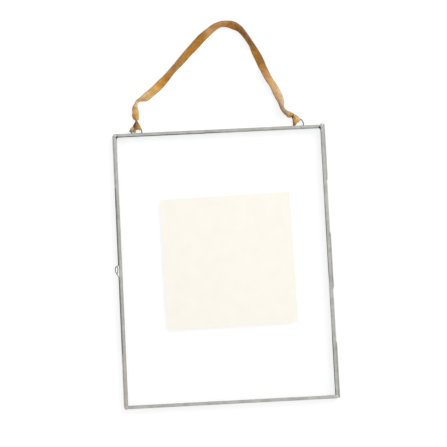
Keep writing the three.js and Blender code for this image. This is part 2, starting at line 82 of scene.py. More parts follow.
# Latch
LATCH_WIRE_RADIUS = 0.35
LATCH_TUBE_RADIUS = 0.75
LATCH_BORE_RADIUS = 0.55
LATCH_AXIS_OUT = 0.8
LATCH_AXIS_Z = 1.8
LATCH_TUBE_LENGTH = 55.0
LATCH_TUBE_MIDDLE = 111.25
LATCH_TUBE_END = LATCH_TUBE_MIDDLE - LATCH_TUBE_LENGTH / 2
LATCH_INSERTION = 14.0
LATCH_CRANK = 6.5
LATCH_RUN_OUT = 0.55
LATCH_RUN_Z = FRONT_BASE + 2.3
EYE_OUT = 3.7
EYE_HALF = 3.6
EYE_Y = 0.9
EYE_RISE = 0.7
EYE_COIL = [  # shares outward, along and of the rise, as in the solid
    (0, 2.6, -0.14), (0, 1.7, -0.57), (0.1, 1.2, -0.86), (0.4, 1, -0.9), (0.75, 0.85, -0.7),
    (1, 0.3, -0.46), (1, -0.4, -0.38), (0.8, -0.88, -0.28), (0.52, -1, -0.2), (0.3, -0.8, -0.08),
    (0.24, -0.2, 0.03), (0.26, 0.45, 0.18), (0.45, 0.9, 0.36), (0.72, 0.92, 0.55), (0.97, 0.5, 0.74),
    (1, -0.05, 0.88), (0.9, -0.6, 1), (0.62, -1.1, 0.96), (0.3, -1.6, 0.65), (0.06, -2.05, 0.24),
]
KEEPER_RADIUS = 0.45
KEEPER_REACH = 1.0
KEEPER_Y = EYE_Y + EYE_HALF + 2.0
KEEPER_Z = LATCH_RUN_Z - 1.65

# Hanging loops
LOOP_WIRE_RADIUS = 0.6
LEFT_LOOP_X = -83.9
RIGHT_LOOP_X = 82.9
LOOP_HALF_WIDTH = 5.1
LOOP_LEG = 2.0
LOOP_ARCH = 6.0
LOOP_Z = RAIL_DEPTH / 2

# Ribbon
RIBBON_WIDTH = 9.5
RIBBON_THICKNESS = 0.8
FLOOR_GAP = 0.15
LEFT_KNOT = Vector((-83.7, 153.6, 1.9))
RIGHT_KNOT = Vector((74.9, 151.6, 1.9))

# Stations along the ribbon: x, y, lean in degrees, curl of the section in degrees, and share of
# the width left where it is gathered. The route is that of the solid, with one station more at
# each end inside the knot. The curl takes over some of the solid's lean.
STATIONS = [
    (-83.7, 153.7, 0, 200, 0.24), (-83.7, 155.1, 0, 205, 0.9), (-84.3, 158.4, 8, 170, 1),
    (-83.7, 162.2, 22, 172, 1), (-83.6, 166, 51, 160, 1), (-83, 169.5, 84, 90, 1),
    (-81.9, 172.3, 86, 45, 1), (-78.2, 174.4, 77, 30, 1), (-73.3, 176.7, 43, 40, 1),
    (-66.6, 181.4, 38, 55, 1), (-58.8, 188.3, 30, 50, 1), (-50.5, 195.8, 46, 70, 1),
    (-42.5, 204.5, 51, 80, 1), (-34.7, 212.7, 45, 60, 1), (-27.5, 220.7, 40, 50, 1),
    (-20.3, 228.1, 32, 40, 1), (-13.1, 235.4, 34, 50, 1), (-5.3, 241.3, 42, 80, 1),
    (0.9, 245.9, 46, 90, 1), (7.9, 248.8, 55, 100, 1), (14.5, 248.8, 51, 110, 1),
    (20.3, 247.7, 34, 90, 1), (26.2, 243.7, 49, 110, 1), (31.9, 236.3, 58, 120, 1),
    (37.2, 227.6, 58, 110, 1), (41.6, 219.1, 36, 95, 1), (46.2, 210.2, 14, 110, 1),
    (50.2, 201.5, -18, 100, 1), (54.1, 192.3, -28, 75, 1), (59.3, 183.5, -26, 80, 1),
    (63.2, 174.3, -17, 80, 1), (66.4, 166.3, -32, 100, 1), (67.4, 159.6, -60, 130, 1),
    (70.2, 155.7, -54, 140, 1), (73.3, 153.2, -30, 150, 0.75), (74.2, 152.2, -10, 160, 0.5),
]

# The ribbon's nap and painted light and shade, by station number: how light it is painted on the
# left and on the right of the way from the left knot, from 0 for dark to 2.3, and how dull and dark
# it is painted where it is pressed and where it lies in shade
PILE = [
    (0, 0.4, 1.1, 0.2), (2, 0.4, 0.9, 0.05), (3, 1.3, 0.85, 0), (4, 0.65, 0.9, 0.1),
    (5, 1.9, 1.4, 0.05), (6, 1.6, 1.5, 0.1), (7, 2.3, 2.2, 0), (9, 0.9, 1.3, 0), (10, 0.8, 0.7, 0),
    (11, 0.5, 0.4, 0), (12, 0.3, 0.5, 0.1), (14, 0.4, 0.4, 0), (16, 0.2, 0.5, 0), (17, 0.5, 0.95, 0.1),
    (18, 0.4, 0.85, 0.1), (19, 0.5, 1.0, 0.1), (20, 0.3, 0.5, 0.1), (21, 0.2, 0.45, 0),
    (22, 0.25, 0.1, 0.05), (24, 0.1, 0.5, 0.05), (25, 0.1, 0.75, 0), (26, 0.1, 0.4, 0),
    (28, 0.5, 0.5, 0.15), (29, 1.0, 0.8, 0.15), (30, 1.2, 0.7, 0.2), (31, 1.4, 0.4, 0.3),
    (32, 1.3, 0.1, 0.3), (33, 0.9, 0.3, 0.35), (35, 0.7, 0.6, 0.3),
]


def at(point):
    """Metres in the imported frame, of a point in millimetres from the middle of the outline."""
    return Vector((point.x * MM + MIDDLE.x, point.y * MM + MIDDLE.y, point.z * MM))


def lerp(a, b, share):
    return a + (b - a) * share


def evenly(start, end, steps):
    """Numbers in even steps from a start to an end, both included."""
    return [lerp(start, end, k / steps) for k in range(steps + 1)]


def round_angles(count):
    """Angles evenly round a circle."""
    return [2 * pi * k / count for k in range(count)]


def between(rows, place):
    """Values after the first of each row, at a place among the rows' first values."""
    for before, after in zip(rows, rows[1:]):
        if place <= after[0]:
            share = (place - before[0]) / (after[0] - before[0])
            return [lerp(a, b, max(share, 0)) for a, b in zip(before[1:], after[1:])]
    return list(rows[-1][1:])


def smooth_route(points, steps):
    """A centripetal Catmull-Rom curve through rows of numbers whose first three are a place."""
    first = [2 * a - b for a, b in zip(points[0], points[1])]
    last = [2 * a - b for a, b in zip(points[-1], points[-2])]
    padded = [first, *points, last]
    route = []
    for i in range(1, len(padded) - 2):
        p0, p1, p2, p3 = padded[i - 1:i + 3]
        ends = (p0, p1), (p1, p2), (p2, p3)
        gaps = [max(dist(a[:3], b[:3]), 1e-6) ** 0.5 for a, b in ends]
        for k in range(steps):
            t = k / steps
            route.append([hermite(*values, *gaps, t) for values in zip(p0, p1, p2, p3)])
    route.append(list(points[-1]))
    return route


def hermite(x0, x1, x2, x3, d0, d1, d2, t):
    """A number between x1 and x2 at a share t, where the d are the spans' parameter lengths."""
    m1 = ((x1 - x0) / d0 - (x2 - x0) / (d0 + d1) + (x2 - x1) / d1) * d1
    m2 = ((x2 - x1) / d1 - (x3 - x1) / (d1 + d2) + (x3 - x2) / d2) * d1
    return (
        (2 * t**3 - 3 * t**2 + 1) * x1 + (t**3 - 2 * t**2 + t) * m1
        + (3 * t**2 - 2 * t**3) * x2 + (t**3 - t**2) * m2
    )


def skin(rings, loop=False):
    """Points and faces of a closed surface through rings that have one number of points."""
    count = len(rings[0])
    points = [point for ring in rings for point in ring]
    faces = []
    for i in range(len(rings) if loop else len(rings) - 1):
        a, b = i * count, (i + 1) % len(rings) * count
        for j in range(count):
            k = (j + 1) % count
            faces.append((a + j, a + k, b + k, b + j))
    if not loop:
        faces.append(tuple(reversed(range(count))))
        faces.append(tuple(range(len(points) - count, len(points))))
    return points, faces


def new_object(name, data):
    """A new object in the scene."""
    thing = bpy.data.objects.new(name, data)
    bpy.context.scene.collection.objects.link(thing)
    return thing


def add_piece(name, surface, material, body, replaced=(), sharp=60):
    """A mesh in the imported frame, riding on a body and standing for CAD nodes.

    sharp is the angle in degrees from which an edge between two faces isn't shaded smooth.
    """
    points, faces = surface
    mesh = bpy.data.meshes.new(name)
    mesh.from_pydata([at(point) for point in points], [], faces)
    bm = bmesh.new()
    bm.from_mesh(mesh)
    bmesh.ops.recalc_face_normals(bm, faces=bm.faces)
    bm.to_mesh(mesh)
    bm.free()
    mesh.polygons.foreach_set("use_smooth", [True] * len(mesh.polygons))
    mesh.set_sharp_from_angle(angle=radians(sharp))
    mesh.materials.append(material)
    piece = new_object(name, mesh)
    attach(piece, body)
    if replaced:
        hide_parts(*replaced)
    return piece


def paint(piece, **attributes):
    """Named values at each point, which the materials read."""
    for name, values in attributes.items():
        attribute = piece.data.attributes.new(name, "FLOAT", "POINT")
        attribute.data.foreach_set("value", values)


def joined(*surfaces):
    """Several surfaces as one list of points and one of faces."""
    points, faces = [], []
    for more_points, more_faces in surfaces:
        start = len(points)
        points += more_points
        faces += [tuple(i + start for i in face) for face in more_faces]
    return points, faces


# Camera, at the photograph's place

CAMERA_PLACE = Vector((-0.02683, -0.0472, 1.2))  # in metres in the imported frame
CAMERA_TURNS = ((-1.362, "Y"), (4.106, "X"), (-2.886, "Z"))  # in degrees
FOCAL_LENGTH = 94.51
SENSOR_WIDTH = 36

camera_data = bpy.data.cameras.new("camera")
camera_data.lens = FOCAL_LENGTH
camera_data.sensor_width = SENSOR_WIDTH
camera = new_object("camera", camera_data)
camera_matrix = Matrix.Translation(CAMERA_PLACE)
for degrees, axis_name in CAMERA_TURNS:
    camera_matrix = camera_matrix @ Matrix.Rotation(radians(degrees), 4, axis_name)
camera.matrix_world = camera_matrix
bpy.context.scene.camera = camera


# Materials

class Shader:
    """The node tree of a material or a world, with short ways to add and join nodes."""

    def __init__(self, owner, surface="Principled BSDF"):
        owner.use_nodes = True
        self.owner = owner
        self.nodes = owner.node_tree.nodes
        self.surface = self.nodes[surface]
        self.places = self.add("TexCoord").outputs

    def add(self, kind, **values):
        """A new node, by its type's name without ShaderNode."""
        node = self.nodes.new("ShaderNode" + kind)
        for key, value in values.items():
            setattr(node, key, value)
        return node

    def join(self, output, target):
        self.owner.node_tree.links.new(output, target)

    def stretched(self, scale):
        """Object coordinates, drawn out where the scale is small."""
        mapping = self.add("Mapping")
        mapping.inputs["Scale"].default_value = scale
        self.join(self.places["Object"], mapping.inputs["Vector"])
        return mapping.outputs["Vector"]

    def noise(self, scale, detail=3.0, rough=0.55, vector=None, distortion=0.0):
        node = self.add("TexNoise")
        self.fill(
            node, Scale=scale, Detail=detail, Roughness=rough, Distortion=distortion,
            Vector=vector or self.places["Object"],
        )
        return node.outputs["Fac"]

    def painted(self, name):
        """What paint() gave the mesh's points under a name."""
        return self.add("Attribute", attribute_name=name).outputs["Fac"]

    def rays(self, *kinds):
        """1 for a ray of any of the kinds, or else 0."""
        path = self.add("LightPath")
        seen = path.outputs[kinds[0]]
        for kind in kinds[1:]:
            seen = self.maths("MAXIMUM", seen, path.outputs[kind])
        return seen

    def ramp(self, value, stops):
        node = self.add("ValToRGB")
        elements = node.color_ramp.elements
        while len(elements) < len(stops):
            elements.new(0.5)
        for element, (place, colour) in zip(elements, stops):
            element.position = place
            element.color = (*colour, 1)
        self.join(value, node.inputs["Fac"])
        return node.outputs["Color"]

    def grey_ramp(self, value, *stops):
        return self.ramp(value, [(place, (level, level, level)) for place, level in stops])

    def mix(self, share, one, other):
        """Two colours mixed. Each value is a constant or a node's output."""
        node = self.add("Mix", data_type="RGBA")
        self.feed(share, node.inputs[0])
        self.feed(one, node.inputs[6])
        self.feed(other, node.inputs[7])
        return node.outputs[2]

    def feed(self, value, target):
        """Gives an input a constant, a colour or a node's output."""
        if isinstance(value, bpy.types.NodeSocket):
            self.join(value, target)
        elif isinstance(value, tuple):
            target.default_value = (*value, 1)
        else:
            target.default_value = value

    def fill(self, node, **values):
        """Gives a node's inputs their values, by name."""
        for name, value in values.items():
            self.feed(value, node.inputs[name.replace("_", " ")])

    def maths(self, operation, one, other):
        node = self.add("Math", operation=operation)
        self.feed(one, node.inputs[0])
        self.feed(other, node.inputs[1])
        return node.outputs[0]

    def bump(self, height, distance, strength, before=None):
        node = self.add("Bump")
        self.fill(node, Distance=distance, Strength=strength, Height=height)
        if before is not None:
            self.join(before, node.inputs["Normal"])
        return node.outputs["Normal"]

    def plain(self, kind, colour):
        """A simple shader of one colour."""
        node = self.add(kind)
        self.fill(node, Color=colour)
        return node.outputs[0]

    def show(self, share, one, other):
        """Two shaders mixed, as what the material shows."""
        node = self.add("MixShader")
        for output, target in zip((share, one, other), node.inputs):
            self.join(output, target)
        self.join(node.outputs[0], self.nodes["Material Output"].inputs["Surface"])


WARM_STAIN = (0.53, 0.455, 0.335)


def scaled(colour, level):
    return tuple(channel * level for channel in colour)


def metal(name, dark, light, along, roughness):
    """Satin metal with rubbed patches, fine streaks drawn out along one axis, painted shade and a
    painted warm stain.
    """
    s = Shader(bpy.data.materials.new(name))
    streaks = s.noise(1.0, 4, 0.6, s.stretched(along))
    patches = s.noise(110, 4, 0.6, distortion=0.6)
    specks = s.noise(1500, 2, 0.5)
    base = s.mix(s.grey_ramp(patches, (0.35, 0), (0.68, 1)), dark, light)
    base = s.mix(0.35, base, s.ramp(streaks, [(0.3, dark), (0.72, light)]))
    base = s.mix(s.grey_ramp(specks, (0.66, 0), (0.74, 0.5)), base, scaled(dark, 0.55))
    # Painted shade: the channels' inner faces, and a dark line of shade and the wire's reflection
    # beside the latch wire
    base = s.mix(s.painted("tarnish"), base, scaled(dark, 0.07))
    base = s.mix(s.painted("stain"), base, WARM_STAIN)
    rough = s.mix(0.4, s.grey_ramp(patches, (0.3, roughness + 0.1), (0.7, roughness - 0.08)),
                  s.grey_ramp(streaks, (0.3, roughness + 0.14), (0.7, roughness - 0.1)))
    normal = s.bump(streaks, 0.00003, 0.5)
    normal = s.bump(s.noise(240, 3), 0.00012, 0.5, normal)
    s.fill(s.surface, Base_Color=base, Metallic=1.0, Roughness=rough, Normal=normal)
    return s.owner


def clear_glass():
    """Float glass with faint smears, through which lamps still light what lies behind."""
    s = Shader(bpy.data.materials.new("clear_glass"))
    smears = s.noise(28, 5, 0.65, s.stretched((1, 0.35, 1)), distortion=1.2)
    s.fill(
        s.surface,
        Base_Color=(0.997, 1.0, 0.998),
        Roughness=s.grey_ramp(smears, (0.45, 0.012), (0.85, 0.06)),
        IOR=1.5,
        Transmission_Weight=1.0,
        Normal=s.bump(s.noise(9, 2), 0.00004, 0.25),
    )
    through = s.plain("BsdfTransparent", (0.99, 0.995, 0.993))
    s.show(s.rays("Is Shadow Ray", "Is Diffuse Ray"), s.surface.outputs[0], through)
    return s.owner


def cream_card():
    """Uncoated card: cotton fibres, a faint cloudy tone and a slightly toothed surface."""
    s = Shader(bpy.data.materials.new("cream_card"))
    cloud = s.noise(70, 4, 0.6)
    fibre = s.noise(1.0, 4, 0.65, s.stretched((900, 2600, 900)), distortion=0.8)
    clouds = s.grey_ramp(cloud, (0.35, 0), (0.7, 1))
    base = s.mix(clouds, (0.98, 0.925, 0.825), (0.995, 0.95, 0.86))
    base = s.mix(s.grey_ramp(fibre, (0.6, 0), (0.78, 0.35)), base, (0.90, 0.83, 0.70))
    rough = s.grey_ramp(fibre, (0.3, 0.95), (0.7, 0.8))
    s.fill(s.surface, Base_Color=base, Roughness=rough, Normal=s.bump(fibre, 0.00005, 0.5))
    return s.owner


def velvet():
    """Tan velvet ribbon: crushed pile with painted nap, light and shade, and dark woven edges."""
    s = Shader(bpy.data.materials.new("tan_velvet"))
    crush = s.noise(260, 4, 0.65, distortion=0.8)
    tufts = s.noise(2600, 3, 0.6)
    tint = s.noise(120, 2, 0.5)
    # Painted light and shade: lighter and darker pile where the mesh is painted so, for the nap and
    # for how light falls
    pile = s.maths("MULTIPLY", s.painted("brushed"), 0.71)
    lean = s.maths("ADD", s.maths("MULTIPLY", crush, 0.65), pile)
    base = s.ramp(s.maths("SUBTRACT", lean, 0.26), [
        (0.0, (0.06, 0.025, 0.012)),
        (0.14, (0.22, 0.10, 0.036)),
        (0.33, (0.46, 0.20, 0.026)),
        (0.52, (0.67, 0.32, 0.055)),
        (0.74, (0.86, 0.48, 0.15)),
        (1.0, (0.94, 0.62, 0.29)),
    ])
    base = s.mix(s.grey_ramp(tint, (0.5, 0), (0.68, 0.4)), base, (0.34, 0.225, 0.04))
    base = s.mix(s.grey_ramp(tint, (0.32, 0.35), (0.48, 0)), base, (0.55, 0.20, 0.035))
    base = s.mix(s.grey_ramp(tufts, (0.42, 0.0), (0.62, 0.30)), base, (0.22, 0.09, 0.018))
    # Dark edges: the weave along both edges of the free ribbon, partly painted shade, and painted
    # shade along one edge of each sling
    base = s.mix(s.grey_ramp(s.painted("edge"), (0.80, 0), (0.93, 0.65)), base, (0.24, 0.11, 0.03))
    # Painted shade and pressed pile: duller and darker where the mesh is painted so
    dull = s.painted("dull")
    dulled = s.add("HueSaturation")
    s.fill(
        dulled, Saturation=s.maths("SUBTRACT", 1.0, dull),
        Value=s.maths("SUBTRACT", 1.0, s.maths("MULTIPLY", dull, 0.6)), Color=base,
    )
    normal = s.bump(crush, 0.0003, 0.5)
    normal = s.bump(tufts, 0.00018, 0.8, normal)
    s.fill(
        s.surface, Base_Color=dulled.outputs["Color"], Roughness=0.9, Normal=normal,
        Specular_IOR_Level=0.25, Sheen_Weight=0.3, Sheen_Roughness=0.45,
        Sheen_Tint=(1.0, 0.66, 0.28),
    )
    return s.owner


def frayed_ends():
    """The ribbon's cut ends: dull fibres, mottled with what is left of the dark pile."""
    s = Shader(bpy.data.materials.new("frayed_ribbon"))
    mottle = s.noise(420, 4, 0.6, distortion=0.7)
    fibre = s.noise(1.0, 3, 0.6, s.stretched((1500, 5200, 1500)), distortion=0.6)
    base = s.ramp(mottle, [
        (0.34, (0.18, 0.09, 0.04)),
        (0.46, (0.45, 0.31, 0.17)),
        (0.6, (0.66, 0.53, 0.35)),
        (0.75, (0.78, 0.69, 0.51)),
    ])
    base = s.mix(s.grey_ramp(fibre, (0.5, 0), (0.7, 0.45)), base, (0.20, 0.13, 0.06))
    normal = s.bump(fibre, 0.0002, 0.7, s.bump(mottle, 0.0003, 0.6))
    s.fill(s.surface, Base_Color=base, Roughness=0.95, Normal=normal, Specular_IOR_Level=0.2)
    return s.owner


def floor_white():
    """A pale floor that is white to the camera and still takes the object's shadow."""
    s = Shader(bpy.data.materials.new("floor_white"))
    s.nodes.remove(s.surface)
    clouds = s.ramp(s.noise(6, 3), [(0.3, (0.84, 0.84, 0.835)), (0.7, (0.86, 0.86, 0.86))])
    white = s.add("AddShader")
    s.join(s.plain("BsdfDiffuse", (0.30, 0.30, 0.30)), white.inputs[0])
    s.join(s.plain("Emission", (0.76, 0.76, 0.76)), white.inputs[1])
    seen = s.rays("Is Camera Ray", "Is Glossy Ray", "Is Transmission Ray")
    s.show(seen, s.plain("BsdfDiffuse", clouds), white.outputs[0])
    return s.owner


DARK_METAL, LIGHT_METAL = (0.378, 0.376, 0.353), (0.589, 0.586, 0.554)
metal_across = metal("satin_metal_across", DARK_METAL, LIGHT_METAL, (120, 2600, 2600), 0.36)
metal_upright = metal("satin_metal_upright", DARK_METAL, LIGHT_METAL, (2600, 120, 2600), 0.36)
solder = metal("solder", (0.50, 0.50, 0.485), (0.74, 0.74, 0.72), (700, 700, 700), 0.30)
# Near-black metal for painted shade in the top corners' notches
notch_shade = metal("notch_shade", (0.025, 0.025, 0.022), (0.06, 0.06, 0.055), (700, 700, 700), 0.5)
bright_tube = metal("bright_tube", (0.68, 0.68, 0.66), (0.90, 0.90, 0.88), (2600, 120, 2600), 0.4)
wire_metal = metal("wire_metal", (0.045, 0.045, 0.043), (0.12, 0.12, 0.115), (1800, 240, 1800), 0.36)
loop_metal = metal("loop_metal", (0.09, 0.09, 0.092), (0.22, 0.22, 0.225), (900, 900, 900), 0.36)
glass = clear_glass()
card_paper = cream_card()
ribbon_velvet = velvet()
frayed = frayed_ends()

for node, material in [
    ("back_glass", glass), ("front_glass", glass), ("insert_card", card_paper),
]:
    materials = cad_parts[node].data.materials
    materials.clear()
    materials.append(material)


# Ribbon between its knots

SIDE_STEPS = 18  # steps across the ribbon
STATION_STEPS = 15  # steps from one station to the next
PLEAT_HEIGHT = 1.4  # of the folds where the ribbon is gathered
CRUMPLES = ((0.22, 0.11), (0.07, 0.5), (0.05, 1.7))  # each one's height, and how fine it is
EDGE_WAVE = 0.25  # how far the ribbon's edges wander


def edge_share(v):
    """Share of a ribbon's thickness that is left at a place across. Its edges are rounded."""
    return 0.62 + 0.38 * (1 - v**8)


def ribbon_outline(curl, gather):
    """Outline of the ribbon's section: (across, up, place across) points, its upper side first."""
    radius = RIBBON_WIDTH / radians(curl)
    line = []
    for v in evenly(-1, 1, SIDE_STEPS):
        tilt = v * RIBBON_WIDTH / 2 / radius
        pleat = PLEAT_HEIGHT * (1 - gather) * cos(3.5 * pi * v)
        across = radius * sin(tilt) * gather
        up = radius * (cos(tilt) - 1) + pleat
        line.append((across, up, tilt, RIBBON_THICKNESS / 2 * edge_share(v), v))
    middle = sum(p[1] for p in line) / len(line)
    upper = [(a + h * sin(t), u - middle + h * cos(t), v) for a, u, t, h, v in line]
    lower = [(a - h * sin(t), u - middle - h * cos(t), v) for a, u, t, h, v in line]
    return upper + lower[::-1]


def ribbon_surface():
    """The free ribbon's surface, its centreline, and what is painted on it."""
    route = smooth_route([[x, y, 0, *rest] for x, y, *rest in STATIONS], STATION_STEPS)
    rings, centres = [], []
    paints = {"brushed": [], "edge": [], "dull": []}
    for i, (x, y, _, lean, curl, gather) in enumerate(route):
        light_left, light_right, dull = between(PILE, i / STATION_STEPS)
        before, after = route[max(i - 1, 0)], route[min(i + 1, len(route) - 1)]
        along = Vector((after[0] - before[0], after[1] - before[1], 0)).normalized()
        left = Vector((-along.y, along.x, 0))
        tilt = radians(lean)
        across = left * cos(tilt) + Z * sin(tilt)
        normal = along.cross(across)
        place = Vector((x, y, 0))
        ring = []
        for a, u, v in ribbon_outline(curl, gather):
            point = place + across * a + normal * u
            crumple = sum(height * noise.noise(point * fine) for height, fine in CRUMPLES)
            wave = EDGE_WAVE * abs(v) ** 3 * noise.noise(Vector((i * 0.045, v * 0.7, 3.1)))
            ring.append(point + normal * crumple + across * wave)
            paints["brushed"].append(lerp(light_right, light_left, (v + 1) / 2))
            paints["edge"].append(abs(v))
            paints["dull"].append(dull)
        lift = FLOOR_GAP - min(point.z for point in ring)
        ring = [point + Z * lift for point in ring]
        rings.append(ring)
        centres.append(sum(ring, Vector()) / len(ring))
    return skin(rings), centres, paints


ribbon_skin, ribbon_line, ribbon_paints = ribbon_surface()
ribbon = add_piece(
    "velvet_ribbon", ribbon_skin, ribbon_velvet, "back_frame", ["hanging_ribbon"], 80,
)
paint(ribbon, **ribbon_paints)


# Ribbon ends: round the loops and into the knots

SLING_STEPS = 32  # steps across a ribbon end
FALL_ROWS = 14  # rows of points from the crease to the wire
WRAP_ROWS = 14  # rows of points round the wire
WRAP_GAP = 0.3  # between a loop's wire and the ribbon round it
TABLE_GAP = 0.08
TAIL_STEPS = 14
TAIL_THICKNESS = 0.6
BAND_STEPS = 40
BAND_CORNERS = 20
BLOB_RINGS = 12
BLOB_SIDES = 18


def loop_point(loop_x, angle):
    """Middle of a loop's wire at an angle left of the loop's top."""
    return Vector((
        loop_x - LOOP_HALF_WIDTH * sin(angle),
        HALF_HEIGHT + LOOP_LEG + LOOP_ARCH * cos(angle),
        LOOP_Z,
    ))


def on_table(surface):
    """The same surface, pressed flat where it would go below the table."""
    points, faces = surface
    return [Vector((p.x, p.y, max(p.z, TABLE_GAP))) for p in points], faces


def fall_line(start, end, across, share, side, fold):
    """Points of a ribbon end's upper or lower layer, from its crease to the wire."""
    line = []
    for i in range(FALL_ROWS):
        t = i / FALL_ROWS
        flare = across * (share * 4.0 * t * t * (1 - t))
        bend = Z * (side * 0.5 * fold * sin(pi * t) * (1 - 0.4 * t))
        line.append(start.lerp(end, t) + flare + bend)
    return line


def sling_grid(loop_x, knot, crease, turn, spread, gather, hang, pleats, seed):
    """Rows of points of a ribbon end that fans out below its knot, goes round the wire and back.

    crease is where the fan starts, gather is half its width there, turn is the middle of the fan
    on the loop as an angle left of its top, spread is the angle that it covers to each side, and
    hang is how far it hangs below the wire.
    """
    wrap_radius = LOOP_WIRE_RADIUS + WRAP_GAP + RIBBON_THICKNESS / 2
    pull = (knot - crease).normalized()
    across = Vector((-pull.y, pull.x, 0))
    down = hang.normalized()
    columns = []
    for share in evenly(-1, 1, SLING_STEPS):
        wire = loop_point(loop_x, turn + share * spread)
        fold = cos(pleats * pi * share + seed)
        reach = lerp(hang.length, wrap_radius, share**2) * (1 + 0.08 * fold)
        gathered = crease + across * (share * gather)
        layers = []
        for side in (1, -1):
            start = gathered + Z * (side * (0.5 + 0.3 * fold))
            end = wire + Z * (side * wrap_radius)
            layers.append(fall_line(start, end, across, share, side, fold))
        wrap = []
        for angle in evenly(0, pi, WRAP_ROWS):
            out = down * (reach * sin(angle))
            wrap.append(wire + Z * (wrap_radius * cos(angle)) + out)
        columns.append([*layers[0], *wrap, *reversed(layers[1])])
    shift = Vector((seed, 0, 0))
    return [[p + Z * (0.12 * noise.noise(p * 1.1 + shift)) for p in row] for row in zip(*columns)]


def tail_grid(points, half_width, seed):
    """Rows of points of a short crumpled strip of ribbon along a few points."""
    line = smooth_route(points, 8)
    rows = []
    for i, place in enumerate(line):
        before, after = Vector(line[max(i - 1, 0)]), Vector(line[min(i + 1, len(line) - 1)])
        along = (after - before).normalized()
        across = Vector((-along.y, along.x, 0)).normalized()
        share = i / (len(line) - 1)
        uneven = 1 + 0.5 * noise.noise(Vector((i * 0.11, seed, 2)))
        width = half_width * (1 - 0.4 * abs(2 * share - 1) ** 3) * uneven
        row = []
        for v in evenly(-1, 1, TAIL_STEPS):
            rise = 1.1 * noise.noise(Vector((v * 1.3, i * 0.13, seed)))
            rise += 0.4 * noise.noise(Vector((v * 2.7, i * 0.21, seed + 4)))
            shove = 0.4 * noise.noise(Vector((v * 1.6, seed, i * 0.1)))
            row.append(Vector(place) + across * (v * width) + Z * rise + along * shove)
        rows.append(row)
    return rows


def thick_sheet(grid, thickness):
    """A closed solid round a grid of points, with rounded edges left and right."""
    rows, columns = len(grid), len(grid[0])
    rings = []
    for i in range(rows):
        upper, lower = [], []
        for j, v in enumerate(evenly(-1, 1, columns - 1)):
            down = grid[min(i + 1, rows - 1)][j] - grid[max(i - 1, 0)][j]
            over = grid[i][min(j + 1, columns - 1)] - grid[i][max(j - 1, 0)]
            normal = down.cross(over).normalized() * thickness / 2 * edge_share(v)
            upper.append(grid[i][j] + normal)
            lower.append(grid[i][j] - normal)
        rings.append(upper + lower[::-1])
    return skin(rings)


def knot_band(centre, axis, radii, width, thickness, tilt, seed):
    """A band of ribbon pulled tight round the knot."""
    axis = axis.normalized()
    side = Z.cross(axis).normalized()
    axis = (axis * cos(tilt) + side * sin(tilt)).normalized()
    side = Z.cross(axis).normalized()
    rings = []
    for angle in round_angles(BAND_STEPS):
        flat, rise = cos(angle), sin(angle)
        out = side * flat + Z * rise
        middle = centre + side * (radii[0] * flat) + Z * (radii[1] * rise)
        squeeze = 1 - 0.25 * noise.noise(Vector((flat, rise, seed)) * 1.3)
        ring = []
        for t in round_angles(BAND_CORNERS):
            crown = 0.05 * cos(2.0 * pi * cos(t)) * max(sin(t), 0)
            height = thickness / 2 * sin(t) * (1 + 0.3 * squeeze) + crown
            ring.append(middle + axis * (width / 2 * squeeze * cos(t)) + out * height)
        rings.append(ring)
    return skin(rings, loop=True)


def blob(centre, radii, seed, rough=0.14):
    """A small uneven lump."""
    rows = []
    for i in range(BLOB_RINGS + 1):
        polar = pi * (i + 0.15) / (BLOB_RINGS + 0.3)
        flat = sin(polar)
        row = []
        for angle in round_angles(BLOB_SIDES):
            way = Vector((flat * cos(angle), flat * sin(angle), cos(polar)))
            size = 1 + rough * noise.noise(way * 1.4 + Vector((seed, seed * 0.7, 0)))
            row.append(centre + Vector([w * radius for w, radius in zip(way, radii)]) * size)
        rows.append(row)
    return skin(rows)


def ribbon_end(name, surface, lights, edges, dull, replaced=(), material=ribbon_velvet):
    """A piece of one of the ribbon's ends, with its painted nap, light and shade at each point."""
    piece = add_piece(name, on_table(surface), material, "back_frame", replaced, 80)
    paint(piece, brushed=lights, edge=edges, dull=[dull] * len(lights))
    return piece


def ribbon_lumps(name, parts, dull=0.0, material=ribbon_velvet):
    """A piece of lumps and strips. Each part is a surface and its painted nap, light and shade."""
    lights = [light for (points, _), light in parts for _ in points]
    surface = joined(*(part for part, _ in parts))
    return ribbon_end(name, surface, lights, [0.0] * len(lights), dull, material=material)


def sling(side, lights, dull, **shape):
    """The ribbon round a loop. lights are its painted nap, light and shade at the right, middle and
    left.
    """
    grid = sling_grid(**shape)
    shares = evenly(-1, 1, SLING_STEPS)
    right, middle, left = lights
    levels = [lerp(middle, left if share > 0 else right, abs(share)) for share in shares]
    # Painted shade: the dark edge runs along the left side of the sling only
    edges = [max(share, 0) for share in shares]
    return ribbon_end(
        f"ribbon_sling_{side}", thick_sheet(grid, RIBBON_THICKNESS * 0.8),
        (levels + levels[::-1]) * len(grid), (edges + edges[::-1]) * len(grid), dull,
        [f"ribbon_tie_{side}"],
    )


LEFT_CREASE = LEFT_KNOT + Vector((0, -0.7, 0))
RIGHT_CREASE = RIGHT_KNOT + Vector((3.05, -1.15, 0))
RIGHT_WAY = Vector((0.78, -0.63, 0))  # of the ribbon where it enters the right knot

# Frayed strips left of the left loop: points along each, half its width and its seed
LEFT_STRIPS = [
    ([(-87.0, 146.0, 2.9), (-88.3, 144.7, 3.4), (-89.6, 143.4, 3.1), (-90.9, 142.1, 2.4)], 1.7, 2.7),
    ([(-86.2, 145.4, 2.7), (-86.0, 144.0, 3.1), (-86.3, 142.6, 2.8), (-86.5, 141.3, 2.1)], 1.5, 6.3),
]

